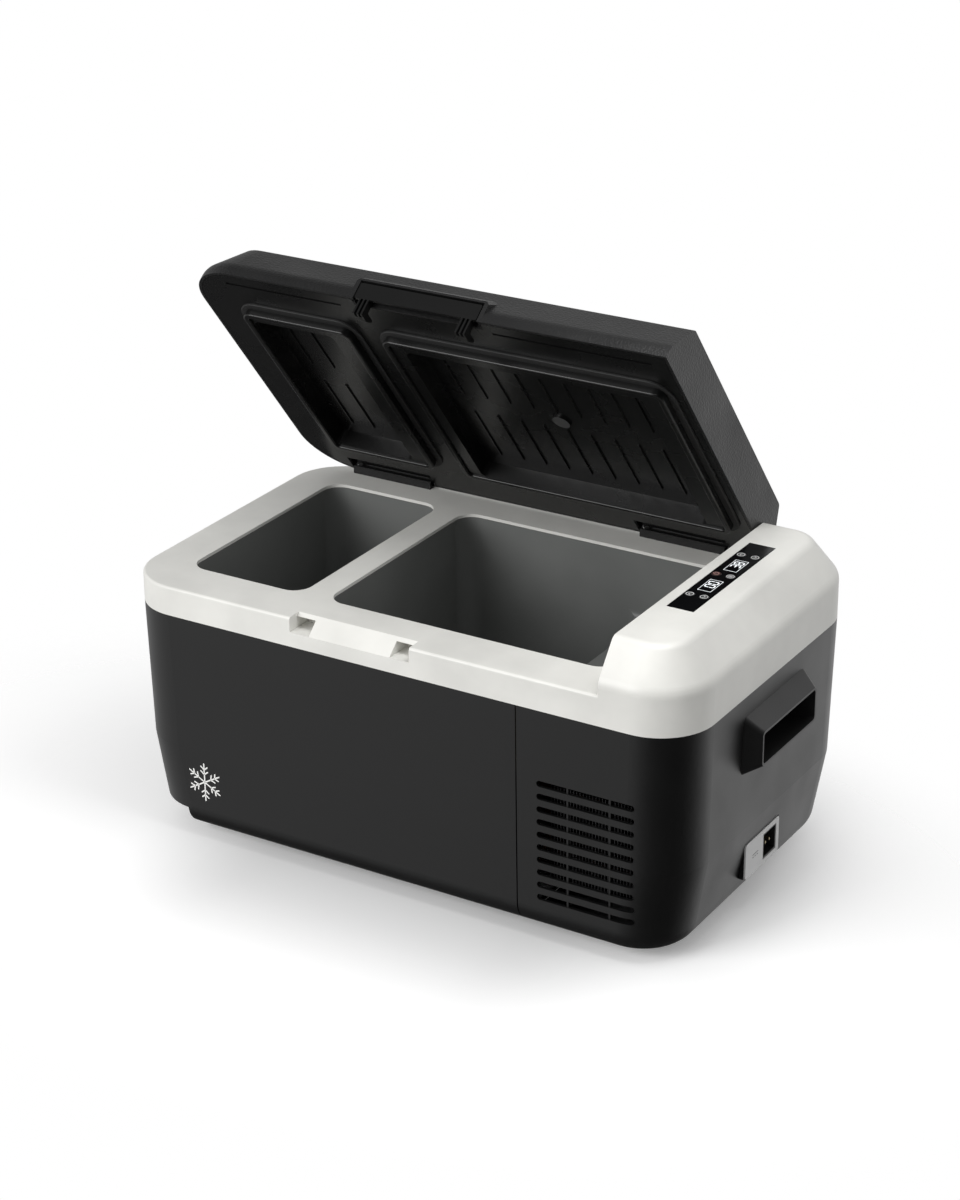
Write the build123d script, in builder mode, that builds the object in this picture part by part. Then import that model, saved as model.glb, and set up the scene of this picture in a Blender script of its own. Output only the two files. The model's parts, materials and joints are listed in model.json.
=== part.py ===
from build123d import *
import math
import os

# Two-zone portable compressor fridge with a top-opening lid.
# X runs along the length with the compressor end at +X, Y runs from front (-Y) to back, Z is up.
# Heights are drawn from a level 10 mm above the ground; save() lifts every piece so the feet stand
# on Z = 0. The lid parts are drawn closed, then turned open about the hinge line.

os.makedirs("parts", exist_ok=True)

# Driving dimensions, in millimetres and degrees
LENGTH = 577.0
WIDTH = 335.0
CORNER_R = 52.0
WALL = 3.0
GAP = 0.4

FOOT_H = 6.0
BASE_Z = -4.0
LIFT = FOOT_H - BASE_Z
KNEE_Z = 80.0
PARTING_Z = 213.0
DECK_Z = 241.0
BAND_Z = 253.0
TOP_Z = 286.0
LID_TOP_Z = 288.5
KNEE_IN = (3.0, 2.0)
BASE_IN = (17.5, 3.8)
CAP_TAPER = 38.0
LID_TAPER = 36.0
BOTTOM_R = 25.0
CREASE_R = 16.0
CAP_EDGE_R = 10.0
LID_EDGE_R = 6.0

STEP_X = -227.0
STEP_H = 22.0
SEAM_X = 127.0
SEAM_GAP = 1.2
CONSOLE_X = 206.0
LID_END_X = 204.5

WELL_FLOOR_Z = 45.0
WELL_TOP_Z = DECK_Z - WALL
WELL_R = 18.0
WELL_Y = 119.0
LEFT_WELL = (-247.0, -124.0)
RIGHT_WELL = (-97.0, 190.0)
STEP_WELL_X = 98.0
STEP_WELL_Z = 172.0
LINER_T = 2.0

BAY_X = 122.0
BAY_TOP_Z = 149.0
BULKHEAD_T = 2.0

OPEN_ANGLE = 51.0
HINGE_Y = 161.0
HINGE_Z = 254.0
LID_FLOOR_Z = 243.0
PLUG_Z = 234.0
BEAD_W = 6.0
BEAD_H = 2.5
BEAD_R = 1.6
PAN_FLOOR_Z = 252.0
PAN_DRAFT = 10.0
PLUG_CLEARANCE = 3.0
PLUG_R = 10.0
PAN_R = 7.0
LEFT_PAN = ((-238.0, -150.0), (-103.0, 108.0))
RIGHT_PAN = ((-75.0, 163.0), (-101.0, 110.0))
SKIN = 2.4
GROOVE_SPANS = ((-247.0, -123.0), (32.0, 186.0))
GROOVE_Y = -151.0
GROOVE_W = 2.8
GROOVE_DEPTH = 1.7
RIB_PITCH = 24.2
RIB_ROWS = ((-90.0, -16.0), (12.0, 88.0))
RIB_W = 2.4
RIB_H = 1.4
BOSS_R = 9.0
BOSS_H = 2.0

LATCH_X = (-103.0, 21.0)
LATCH_TOP_Z = 262.0
HOOK_W = 10.0
HOOK_RIB_W = 1.8
POCKET_W = 20.0

HINGE_XS = (-199.0, 119.0)
HINGE_W = 92.0
HINGE_EAR_W = 6.0
HINGE_SCREW = (24.0, -5.2)
PIN_R = 2.5
LATCH_PIVOT = (-161.6, 256.4)

PANEL_X = (216.0, 242.0)
PANEL_Y = (-67.0, 92.0)
PANEL_T = 1.0
KEY_XS = (221.8, 235.4)
KEY_YS = (-34.6, 15.3, 63.3)
KEY_R = 4.4
KEY_TRAVEL = 0.5
DISPLAY_YS = (-10.0, 39.0)
DISPLAY_SIZE = (14.5, 27.0)

HANDLE_Y = 2.0
HANDLE_OUT = 15.0
HANDLE_DEPTH = 26.0
HOOD_ROOT = (122.0, 59.0, 166.5)
HOOD_LIP = (106.0, 33.0, 164.5)
HOOD_LIP_WALL = 2.0
CUP_HALF_Y = 53.0
CUP_Z = (148.0, 181.0)
CUP_WALL = 2.5

PLATE_Y = (-33.0, 33.0)
PLATE_Z = (22.5, 57.5)
PLATE_X = 282.5
PLATE_T = 1.6
PLATE_BOSS_WALL = 2.5
SOCKET_Y = (1.5, 27.5)
SOCKET_Z = (27.0, 52.5)
SOCKET_DEPTH = 8.0

VENT_X = (147.0, 241.5)
VENT_TOP_Z = 143.5
VENT_PITCH = 12.35
VENT_ROWS = 10
VENT_H = 6.0
VENT_POST_XS = (176.5, 217.5)
VENT_POST_W = 1.8

FOOT_XY = ((-190.0, -105.0), (-190.0, 105.0), (225.0, -105.0), (225.0, 105.0))

FAN_CENTRE = (197.0, 88.0)
FAN_SIZE = 92.0
FAN_Y = -124.0
FAN_T = 25.0
COMPRESSOR_XY = (193.0, 55.0)


def save(shape, name):
    """Lift one finished piece above the ground, label it and write it as a STEP file."""
    placed = Pos(0, 0, LIFT) * shape
    placed.label = name
    export_step(placed, f"parts/{name}.step")


def block(x_range, y_range, z_range):
    """Plain box between two corners."""
    with BuildPart() as box:
        centre = tuple((low + high) / 2 for low, high in (x_range, y_range, z_range))
        size = [high - low for low, high in (x_range, y_range, z_range)]
        with Locations(centre):
            Box(*size)
    return box.part


def rounded_block(x_range, y_range, z_range, radius, draft=0.0):
    """Box with rounded vertical corners, drawn up from its lower face."""
    with BuildPart() as box:
        with BuildSketch(Plane.XY.offset(z_range[0])):
            with Locations(((x_range[0] + x_range[1]) / 2, (y_range[0] + y_range[1]) / 2)):
                RectangleRounded(x_range[1] - x_range[0], y_range[1] - y_range[0], radius)
        extrude(amount=z_range[1] - z_range[0], taper=draft)
    return box.part


def grown(span, amount):
    """A range made wider by amount at both ends."""
    return (span[0] - amount, span[1] + amount)


def tub(inset):
    """Outside form of the lower body, shrunk by inset on every side."""
    levels = ((PARTING_Z, (0, 0)), (KNEE_Z, KNEE_IN), (BASE_Z + inset, BASE_IN))
    with BuildPart() as hull:
        for z, (end_in, side_in) in levels:
            with BuildSketch(Plane.XY.offset(z)):
                length = LENGTH - 2 * (inset + end_in)
                RectangleRounded(length, WIDTH - 2 * (inset + side_in), CORNER_R - inset)
        loft(ruled=True)
        fillet(hull.faces().sort_by(Axis.Z)[0].edges(), BOTTOM_R - inset)
        step_top = BASE_Z + STEP_H + inset
        add(block((-400, STEP_X + inset), (-200, 200), (BASE_Z - 20, step_top)), mode=Mode.SUBTRACT)
    return hull.part


def cap(inset, top_z=TOP_Z, taper=CAP_TAPER, edge_r=CAP_EDGE_R):
    """Outside form of the upper body from the parting line to the top, shrunk by inset."""
    with BuildPart() as hull:
        with BuildSketch(Plane.XY.offset(PARTING_Z)):
            RectangleRounded(LENGTH - 2 * inset, WIDTH - 2 * inset, CORNER_R - inset)
        extrude(amount=BAND_Z - PARTING_Z)
        extrude(hull.faces().sort_by(Axis.Z)[-1], amount=top_z - inset - BAND_Z, taper=taper)
        fillet(hull.faces().sort_by(Axis.Z)[-1].edges(), edge_r)
        fillet(hull.edges().filter_by_position(Axis.Z, BAND_Z - 0.01, BAND_Z + 0.01), CREASE_R)
    return hull.part


def cavity(inset):
    """Space inside the shells from the floor to the underside of the deck."""
    with BuildPart() as space:
        add(tub(inset))
        with BuildSketch(Plane.XY.offset(PARTING_Z)):
            RectangleRounded(LENGTH - 2 * inset, WIDTH - 2 * inset, CORNER_R - inset)
        extrude(amount=WELL_TOP_Z - PARTING_Z)
    return space.part


def swept_tube(points, radii, diameter):
    """Round rod along straight runs joined by arcs."""
    with BuildPart() as tube:
        with BuildLine():
            route = FilletPolyline(*points, radius=radii)
        with BuildSketch(Plane(route @ 0, z_dir=route % 0)):
            Circle(diameter / 2)
        sweep()
    return tube.part


# End handles: a hood outside the wall with a finger cup behind it


def hood_section(x, width, height, z, radius):
    """Rounded rectangle across the end wall, drawn at one distance along X."""
    with BuildSketch(Plane((x, HANDLE_Y, z), x_dir=(0, 1, 0), z_dir=(1, 0, 0))) as section:
        RectangleRounded(width, height, radius)
    return section.sketch


def handle(side):
    """Hooded pocket handle for one end wall; side is +1 for right and -1 for left."""
    root_x = LENGTH / 2 - 3.6
    lip_x = LENGTH / 2 + HANDLE_OUT
    cup_x = LENGTH / 2 - HANDLE_DEPTH
    lip_width, lip_height, lip_z = HOOD_LIP
    mouth = hood_section(lip_x, lip_width - 2 * HOOD_LIP_WALL, lip_height - 2 * HOOD_LIP_WALL, lip_z, 3)
    with BuildPart() as hood:
        loft([hood_section(root_x, *HOOD_ROOT, 5), hood_section(lip_x, *HOOD_LIP, 4)])
        add(tub(0), mode=Mode.SUBTRACT)
        add(block((cup_x, lip_x - 6), (HANDLE_Y - CUP_HALF_Y, HANDLE_Y + CUP_HALF_Y), CUP_Z))
        fillet(hood.faces().sort_by(Axis.X)[0].edges(), 3)
        extrude(mouth, amount=-(lip_x - cup_x - CUP_WALL), mode=Mode.SUBTRACT)
    if side > 0:
        return hood.part
    return mirror(hood.part, about=Plane.YZ)


def handle_hole(side):
    """Opening that the handle's cup passes through."""
    x_range = sorted((side * 240, side * 300))
    y_range = (HANDLE_Y - CUP_HALF_Y, HANDLE_Y + CUP_HALF_Y)
    return block(x_range, grown(y_range, GAP), grown(CUP_Z, GAP))


save(handle(1), "handle_right")
save(handle(-1), "handle_left")

# Lower shell, from the left end to the compressor cover's seam
with BuildPart() as outer_shell:
    add(tub(0))
    add(tub(WALL), mode=Mode.SUBTRACT)
    add(block((SEAM_X - SEAM_GAP / 2, 400), (-200, 200), (-10, 300)), mode=Mode.SUBTRACT)
    add(handle_hole(-1), mode=Mode.SUBTRACT)
save(outer_shell.part, "outer_shell")

# Compressor cover: vents with inner posts front and back, holes for the handle and the inlet
vent_middle_x = sum(VENT_X) / 2
vent_z = (VENT_TOP_Z - (VENT_ROWS - 1) * VENT_PITCH, VENT_TOP_Z)
with BuildPart() as vent_posts:
    for x in VENT_POST_XS:
        add(block((x - VENT_POST_W / 2, x + VENT_POST_W / 2), (-200, 200), grown(vent_z, VENT_H)))
    add(tub(WALL / 2), mode=Mode.INTERSECT)
    add(tub(WALL + 1.5), mode=Mode.SUBTRACT)

with BuildPart() as compressor_cover:
    add(tub(0))
    add(tub(WALL), mode=Mode.SUBTRACT)
    add(block((-400, SEAM_X + SEAM_GAP / 2), (-200, 200), (-10, 300)), mode=Mode.SUBTRACT)
    with BuildSketch(Plane.XZ):
        with Locations((vent_middle_x, sum(vent_z) / 2)):
            with GridLocations(1, VENT_PITCH, 1, VENT_ROWS):
                SlotOverall(VENT_X[1] - VENT_X[0], VENT_H)
    extrude(amount=200, both=True, mode=Mode.SUBTRACT)
    add(vent_posts.part)
    add(handle_hole(1), mode=Mode.SUBTRACT)
    plate_back = PLATE_X - PLATE_T - GAP / 4
    add(block((260, plate_back), PLATE_Y, PLATE_Z))
    add(block((plate_back, 300), grown(PLATE_Y, GAP), grown(PLATE_Z, GAP)), mode=Mode.SUBTRACT)
    hollow_x = (250, PLATE_X - PLATE_T - PLATE_BOSS_WALL)
    hollow_y = grown(PLATE_Y, -PLATE_BOSS_WALL)
    add(block(hollow_x, hollow_y, grown(PLATE_Z, -PLATE_BOSS_WALL)), mode=Mode.SUBTRACT)
    add(block((250, 300), grown(SOCKET_Y, GAP), grown(SOCKET_Z, GAP)), mode=Mode.SUBTRACT)
save(compressor_cover.part, "compressor_cover")

# White upper frame: rim, deck and raised console in one moulding
latch_block_x = grown(LATCH_X, 6)
with BuildPart() as frame_cavity:
    add(cap(WALL))
    lid_space = block((-400, CONSOLE_X + WALL), (-200, 200), (WELL_TOP_Z, 400))
    add(lid_space, mode=Mode.SUBTRACT)
    latch_block = block(latch_block_x, (-200, -132), (PARTING_Z, DECK_Z))
    add(latch_block, mode=Mode.SUBTRACT)

with BuildPart() as top_frame:
    add(cap(0))
    add(block((-400, CONSOLE_X), (-200, 200), (DECK_Z, 400)), mode=Mode.SUBTRACT)
    deck_edges = top_frame.faces().filter_by(Plane.XY).sort_by(Axis.Z)[-2].edges()
    fillet(deck_edges.filter_by(GeomType.LINE).filter_by(Axis.X), 2.5)
    add(frame_cavity.part, mode=Mode.SUBTRACT)
    for well in (LEFT_WELL, RIGHT_WELL):
        opening = rounded_block(well, (-WELL_Y, WELL_Y), (WELL_TOP_Z - 2, DECK_Z + 2), WELL_R)
        add(opening, mode=Mode.SUBTRACT)
    with BuildSketch(Plane.YZ.offset(LATCH_X[0])):
        with BuildLine():
            Polyline(
                (-152, DECK_Z), (-152, DECK_Z + 5), (-175, DECK_Z + 5), (-175, 227), (-167.5, 227), close=True,
            )
        make_face()
    extrude(amount=LATCH_X[1] - LATCH_X[0], mode=Mode.SUBTRACT)
    for low in (LATCH_X[0], LATCH_X[1] - POCKET_W):
        pocket = block((low, low + POCKET_W), (-175, -140), (227, WELL_TOP_Z))
        add(pocket, mode=Mode.SUBTRACT)
    panel_seat = block(PANEL_X, PANEL_Y, (TOP_Z - PANEL_T, TOP_Z + 1))
    add(panel_seat, mode=Mode.SUBTRACT)
    panel_hole = block(grown(PANEL_X, -1), grown(PANEL_Y, -4), (TOP_Z - WALL - 2, TOP_Z + 1))
    add(panel_hole, mode=Mode.SUBTRACT)
    for x in HINGE_XS:
        for side in (-1, 1):
            with BuildSketch(Plane.XY.offset(DECK_Z + 1)):
                with Locations((x + side * HINGE_SCREW[0], HINGE_Y + HINGE_SCREW[1])):
                    Circle(1.6)
            extrude(amount=-10, mode=Mode.SUBTRACT)

save(top_frame.part, "top_frame")


# Liners: the left one is plain, the right one is stepped over the compressor bay
def well_solid(x_range, floor_z, grow, top_z=WELL_TOP_Z - GAP):
    """Tub-shaped block that a liner follows, grown by grow on the sides and floor."""
    with BuildPart() as solid:
        y_range = (-WELL_Y - grow, WELL_Y + grow)
        add(rounded_block(grown(x_range, grow), y_range, (floor_z - grow, top_z), WELL_R + grow))
        fillet(solid.faces().sort_by(Axis.Z)[0].edges(), 8 + grow)
    return solid.part


def right_well_solid(grow, top_z=WELL_TOP_Z - GAP):
    """Stepped block that the right liner follows."""
    with BuildPart() as solid:
        add(well_solid(RIGHT_WELL, STEP_WELL_Z, grow, top_z))
        add(well_solid((RIGHT_WELL[0], STEP_WELL_X), WELL_FLOOR_Z, grow, top_z))
    return solid.part


with BuildPart() as liner_left:
    add(well_solid(LEFT_WELL, WELL_FLOOR_Z, LINER_T))
    add(well_solid(LEFT_WELL, WELL_FLOOR_Z, 0), mode=Mode.SUBTRACT)

with BuildPart() as liner_right:
    add(right_well_solid(LINER_T))
    add(right_well_solid(0), mode=Mode.SUBTRACT)

save(liner_left.part, "liner_left")
save(liner_right.part, "liner_right")

# Bulkhead: folded sheet between the foam and the compressor bay
with BuildPart() as bulkhead:
    with BuildSketch(Plane.XZ):
        with BuildLine():
            rise = [(BAY_X, -20), (BAY_X, BAY_TOP_Z), (CONSOLE_X, BAY_TOP_Z), (CONSOLE_X, 400)]
            back = [(x + BULKHEAD_T, z - BULKHEAD_T) for x, z in reversed(rise)]
            Polyline(*rise, *back, close=True)
        make_face()
    extrude(amount=200, both=True)
    add(cavity(WALL + GAP), mode=Mode.INTERSECT)

save(bulkhead.part, "bulkhead")

# Evaporator: flat serpentine tube on the back of the right liner
coil_y = WELL_Y + LINER_T + 4.5
coil_turns = 5
coil_points = []
for turn in range(coil_turns):
    z = 62 + turn * 34
    ends = (-84, 84) if turn % 2 == 0 else (84, -84)
    coil_points += [(end, coil_y, z) for end in ends]
evaporator = swept_tube(coil_points, 12, 7)
save(evaporator, "evaporator_coil")

# Temperature probe clipped to the right liner's step wall
with BuildPart() as sensor:
    with BuildSketch(Plane((STEP_WELL_X + LINER_T + 4, 60, 120), z_dir=(0, 1, 0))):
        Circle(3)
    extrude(amount=35)
    fillet(sensor.edges(), 1.2)
save(sensor.part, "temperature_sensor")

# Foam that fills the space round the liners
with BuildPart() as foam:
    add(cavity(WALL + GAP))
    with BuildSketch(Plane.XZ):
        with BuildLine():
            Polyline(
                (BAY_X - GAP, -20), (BAY_X - GAP, BAY_TOP_Z + GAP), (CONSOLE_X - GAP, BAY_TOP_Z + GAP),
                (CONSOLE_X - GAP, 400), (400, 400), (400, -20), close=True,
            )
        make_face()
    extrude(amount=200, both=True, mode=Mode.SUBTRACT)
    add(well_solid(LEFT_WELL, WELL_FLOOR_Z, LINER_T + GAP, DECK_Z), mode=Mode.SUBTRACT)
    add(right_well_solid(LINER_T + GAP, DECK_Z), mode=Mode.SUBTRACT)
    add(block(grown(latch_block_x, GAP), (-200, -132 + GAP), (PARTING_Z - 1, 300)), mode=Mode.SUBTRACT)
    add(block((-300, -258), (HANDLE_Y - 54, HANDLE_Y + 54), (147, 182)), mode=Mode.SUBTRACT)
    add(block((-92, 92), (coil_y - 4.5, coil_y + 4.5), (56, 204)), mode=Mode.SUBTRACT)
    add(block((STEP_WELL_X, 108), (58, 98), (112, 128)), mode=Mode.SUBTRACT)
    for x in HINGE_XS:
        hinge_post = block((x - 30, x + 30), (HINGE_Y - 22, 200), (WELL_TOP_Z - 12, 300))
        add(hinge_post, mode=Mode.SUBTRACT)
save(foam.part, "insulation_foam")

# Feet: four rubber discs, each with a sunk screw
with BuildPart() as feet:
    with BuildSketch(Plane.XY.offset(BASE_Z)):
        with Locations(*FOOT_XY):
            Circle(14)
    extrude(amount=-FOOT_H, taper=8)
    fillet(feet.faces().filter_by(Plane.XY).group_by(Axis.Z)[0].edges(), 1)
    with Locations(*[(x, y, -LIFT) for x, y in FOOT_XY]):
        Cylinder(4.5, 3, align=(Align.CENTER, Align.CENTER, Align.MIN), mode=Mode.SUBTRACT)
        Cylinder(2.2, 20, mode=Mode.SUBTRACT)
save(feet.part, "feet")


def screws(points, plane_z, head_r, shank_r, head_h, shank_l):
    """Group of pan-head screws that point up, heads down, at the given places."""
    with BuildPart() as group:
        with Locations(*[(x, y, plane_z) for x, y in points]):
            Cylinder(head_r, head_h, align=(Align.CENTER, Align.CENTER, Align.MAX))
            Cylinder(shank_r, shank_l, align=(Align.CENTER, Align.CENTER, Align.MIN))
        heads = group.faces().filter_by(Plane.XY).group_by(Axis.Z)[0]
        fillet(heads.edges(), head_h * 0.35)
        with Locations(*[(x, y, plane_z - head_h) for x, y in points]):
            Box(head_r * 1.1, head_r * 0.28, head_h * 0.9, mode=Mode.SUBTRACT)
            Box(head_r * 0.28, head_r * 1.1, head_h * 0.9, mode=Mode.SUBTRACT)
    return group.part


save(screws(FOOT_XY, 3 - LIFT, 4, 2, 1.8, 2.9), "foot_screws")

# Compressor on its base plate, rubber mounts and bolts
cx, cy = COMPRESSOR_XY
floor_z = BASE_Z + WALL + GAP
mount_xy = [(cx + dx, cy + dy) for dx in (-50, 50) for dy in (-42, 42)]
plate_top = floor_z + 2
with BuildPart() as base_plate:
    add(rounded_block((cx - 66, cx + 55), (cy - 62, cy + 58), (floor_z, plate_top), 4))
    with Locations(*[(x, y, floor_z) for x, y in mount_xy]):
        Cylinder(3.2, 20, mode=Mode.SUBTRACT)
save(base_plate.part, "compressor_base_plate")

with BuildPart() as grommets:
    with Locations(*[(x, y, plate_top) for x, y in mount_xy]):
        Cylinder(9, 9, align=(Align.CENTER, Align.CENTER, Align.MIN))
    fillet(grommets.edges(), 1.5)
    with Locations(*[(x, y, plate_top) for x, y in mount_xy]):
        Cylinder(3.2, 40, mode=Mode.SUBTRACT)
save(grommets.part, "compressor_grommets")

bracket_z = plate_top + 9
with BuildPart() as bolts:
    with Locations(*[(x, y, bracket_z + 3) for x, y in mount_xy]):
        Cylinder(5.5, 4, align=(Align.CENTER, Align.CENTER, Align.MIN))
        Cylinder(2.9, 13.8, align=(Align.CENTER, Align.CENTER, Align.MAX))
save(bolts.part, "compressor_bolts")

shell_low = bracket_z + 3
shell_high = shell_low + 104
stub_top = shell_high + 2
stub_xy = ((cx + 26, cy + 16), (cx - 26, cy - 16))


def can(radius, low, high, dome):
    """Upright can with a domed top."""
    with BuildPart() as body:
        with Locations((cx, cy, low)):
            Cylinder(radius, high - low, align=(Align.CENTER, Align.CENTER, Align.MIN))
        fillet(body.faces().sort_by(Axis.Z)[-1].edges(), dome)
        fillet(body.faces().sort_by(Axis.Z)[0].edges(), dome / 2)
    return body.part


with BuildPart() as compressor:
    add(can(46, shell_low, shell_high, 26))
    with Locations(*[(x, y, stub_top) for x, y in stub_xy]):
        Cylinder(4, 14, align=(Align.CENTER, Align.CENTER, Align.MAX))
    with Locations((cx, cy, shell_low + 50)):
        Cylinder(48.5, 4)
    add(rounded_block((cx - 60, cx + 60), (cy - 52, cy + 52), (bracket_z, shell_low), 9))
    add(can(43, shell_low + 3, shell_high - 3, 23), mode=Mode.SUBTRACT)
    with Locations(*[(x, y, bracket_z) for x, y in mount_xy]):
        Cylinder(3.2, 20, mode=Mode.SUBTRACT)
save(compressor.part, "compressor_shell")

with BuildPart() as pump:
    with Locations((cx, cy, shell_low + 4)):
        Cylinder(34, 62, align=(Align.CENTER, Align.CENTER, Align.MIN))
    fillet(pump.edges(), 3)
    with Locations((cx, cy, shell_low + 66)):
        Cylinder(20, 12, align=(Align.CENTER, Align.CENTER, Align.MIN))
    with Locations((cx, cy, shell_low + 4)):
        Cylinder(9, 200, mode=Mode.SUBTRACT)
save(pump.part, "compressor_pump")

with BuildPart() as terminals:
    add(rounded_block((cx - 18, cx + 18), (cy + 47.2, cy + 68), (shell_low + 22, shell_low + 44), 4))
    fillet(terminals.faces().sort_by(Axis.Z)[-1].edges(), 2)
save(terminals.part, "terminal_cover")

# Condenser: fin pack and tube behind the front vents
fan_x, fan_z = FAN_CENTRE
fin_count = 30
fin_pitch = 3.1
fin_y = (-149.0, -127.0)
fin_z = (fan_z - 47, fan_z + 47)
with BuildPart() as fins:
    with Locations((fan_x, (fin_y[0] + fin_y[1]) / 2, fan_z)):
        with GridLocations(fin_pitch, 1, fin_count, 1):
            Box(0.5, fin_y[1] - fin_y[0], fin_z[1] - fin_z[0])
save(fins.part, "condenser_fins")

tube_y = (fin_y[0] + fin_y[1]) / 2
tube_points = []
for turn in range(6):
    z = fan_z - 38 + turn * 15.2
    ends = (fan_x - 54, fan_x + 54) if turn % 2 == 0 else (fan_x + 54, fan_x - 54)
    tube_points += [(end, tube_y, z) for end in ends]
save(swept_tube(tube_points, 7.5, 6), "condenser_tube")

# Cooling fan: square frame with a turning rotor
with BuildPart() as fan_frame:
    with BuildSketch(Plane((fan_x, FAN_Y, fan_z), x_dir=(1, 0, 0), z_dir=(0, 1, 0))):
        RectangleRounded(FAN_SIZE, FAN_SIZE, 6)
        Circle(42.5, mode=Mode.SUBTRACT)
        with GridLocations(82.5, 82.5, 2, 2):
            Circle(2.2, mode=Mode.SUBTRACT)
    extrude(amount=FAN_T)
    with BuildSketch(Plane((fan_x, FAN_Y + FAN_T - 3, fan_z), x_dir=(1, 0, 0), z_dir=(0, 1, 0))):
        Circle(17)
        with PolarLocations(30, 4, start_angle=45):
            Rectangle(30, 5)
    extrude(amount=3)
    with BuildSketch(Plane((fan_x, FAN_Y + 8, fan_z), x_dir=(1, 0, 0), z_dir=(0, 1, 0))):
        Circle(3)
    extrude(amount=FAN_T - 9)
save(fan_frame.part, "fan_frame")

with BuildPart() as rotor:
    with BuildSketch(Plane((fan_x, FAN_Y + 2, fan_z), x_dir=(1, 0, 0), z_dir=(0, 1, 0))):
        Circle(16)
    extrude(amount=18.5)
    fillet(rotor.faces().sort_by(Axis.Y)[0].edges(), 2)
    for blade in range(7):
        angle = blade * 360 / 7
        with BuildSketch(Plane((fan_x, FAN_Y + 11, fan_z)).rotated((0, angle, 0)).offset(14)):
            Rectangle(2.0, 17, rotation=38)
        extrude(amount=26)
    with BuildSketch(Plane((fan_x, FAN_Y + 7, fan_z), x_dir=(1, 0, 0), z_dir=(0, 1, 0))):
        Circle(3.06)
    extrude(amount=40, mode=Mode.SUBTRACT)
save(rotor.part, "fan_rotor")

# Refrigerant circuit
with BuildPart() as drier:
    with BuildSketch(Plane((146, -60, 120), z_dir=(0, 1, 0))):
        Circle(8.5)
    extrude(amount=80)
    fillet(drier.edges(), 6)
    with BuildSketch(Plane((146, -66, 120), z_dir=(0, 1, 0))):
        Circle(3)
    extrude(amount=92)
save(drier.part, "filter_drier")

discharge = [
    (cx - 26, cy - 16, stub_top), (cx - 26, cy - 16, 140), (134, -30, 140),
    (134, tube_y, 140), (134, tube_y, tube_points[-1][2]), tube_points[-1],
]
save(swept_tube(discharge, [6, 20, 6, 6], 5), "discharge_line")
suction = [(cx + 26, cy + 16, stub_top), (cx + 26, cy + 16, 141), (BAY_X + BULKHEAD_T, cy + 16, 141)]
save(swept_tube(suction, 6, 5), "suction_line")
liquid = [
    (146, -66, 120), (146, -80, 120), (134, -96, 100), (134, -126, 62),
    (134, tube_y, tube_points[0][2]), tube_points[0],
]
save(swept_tube(liquid, [5, 8, 5, 4], 5), "liquid_line")
capillary = [
    (146, 26, 120), (146, 50, 120), (134, 74, 104), (134, 100, 60), (134, 74, 36), (134, 50, 36),
    (BAY_X + BULKHEAD_T, 50, 36),
]
save(swept_tube(capillary, [6, 8, 12, 8, 5], 2.4), "capillary_tube")


# Console: film panel, keys, displays and the boards under them
with BuildPart() as film:
    add(block(grown(PANEL_X, -0.2), grown(PANEL_Y, -0.2), (TOP_Z - PANEL_T, TOP_Z - 0.05)))
    with BuildSketch(Plane.XY.offset(TOP_Z + 1)):
        with Locations(*[(x, y) for x in KEY_XS for y in KEY_YS]):
            Circle(KEY_R + 0.2)
        with Locations(*[(sum(PANEL_X) / 2, y) for y in DISPLAY_YS]):
            Rectangle(*DISPLAY_SIZE)
    extrude(amount=-4, mode=Mode.SUBTRACT)
save(film.part, "control_panel")

board_top = TOP_Z - 6.0
for name, y in zip(("display_left_zone", "display_right_zone"), DISPLAY_YS):
    x = sum(PANEL_X) / 2
    half_x, half_y = DISPLAY_SIZE[0] / 2 - 0.1, DISPLAY_SIZE[1] / 2 - 0.1
    with BuildPart() as display:
        add(block((x - half_x, x + half_x), (y - half_y, y + half_y), (board_top, TOP_Z - 0.1)))
        chamfer(display.faces().sort_by(Axis.Z)[-1].edges(), 0.2)
    save(display.part, name)

with BuildPart() as display_board:
    add(block(grown(PANEL_X, -2.6), grown(PANEL_Y, -5), (board_top - 1.6, board_top)))
save(display_board.part, "display_board")

switch_top = board_top + 2.2
with BuildPart() as switches:
    with Locations(*[(x, y, board_top) for x in KEY_XS for y in KEY_YS]):
        Box(6, 6, 1.6, align=(Align.CENTER, Align.CENTER, Align.MIN))
        Cylinder(1.5, switch_top - board_top, align=(Align.CENTER, Align.CENTER, Align.MIN))
save(switches.part, "key_switches")

key_names = (
    ("key_left_up", "key_power", "key_right_up"),
    ("key_left_down", "key_set", "key_right_down"),
)
for x, names in zip(KEY_XS, key_names):
    for y, name in zip(KEY_YS, names):
        with BuildPart() as key:
            with Locations((x, y, TOP_Z + 0.3)):
                Cylinder(KEY_R, 2.3, align=(Align.CENTER, Align.CENTER, Align.MAX))
            fillet(key.faces().sort_by(Axis.Z)[-1].edges(), 0.4)
            with Locations((x, y, switch_top + KEY_TRAVEL + 0.1)):
                Cylinder(1.6, 1.8, align=(Align.CENTER, Align.CENTER, Align.MIN))
        save(key.part, name)

with BuildPart() as control_board:
    add(block((214, 262), (-136, -30), (218, 219.6)))
save(control_board.part, "control_board")

with BuildPart() as parts_on_board:
    with Locations((222, -120, 219.6), (222, -104, 219.6), (238, -120, 219.6)):
        Cylinder(6, 18, align=(Align.CENTER, Align.CENTER, Align.MIN))
    with Locations((232, -70, 219.6)):
        Box(20, 20, 12, align=(Align.CENTER, Align.CENTER, Align.MIN))
save(parts_on_board.part, "board_components")

with BuildPart() as heat_sink:
    add(block((250, 260), (-132, -60), (219.6, 222)))
    with Locations((255, -96, 222)):
        with GridLocations(3.2, 1, 3, 1):
            Box(1.2, 72, 14, align=(Align.CENTER, Align.CENTER, Align.MIN))
save(heat_sink.part, "heat_sink")

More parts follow.
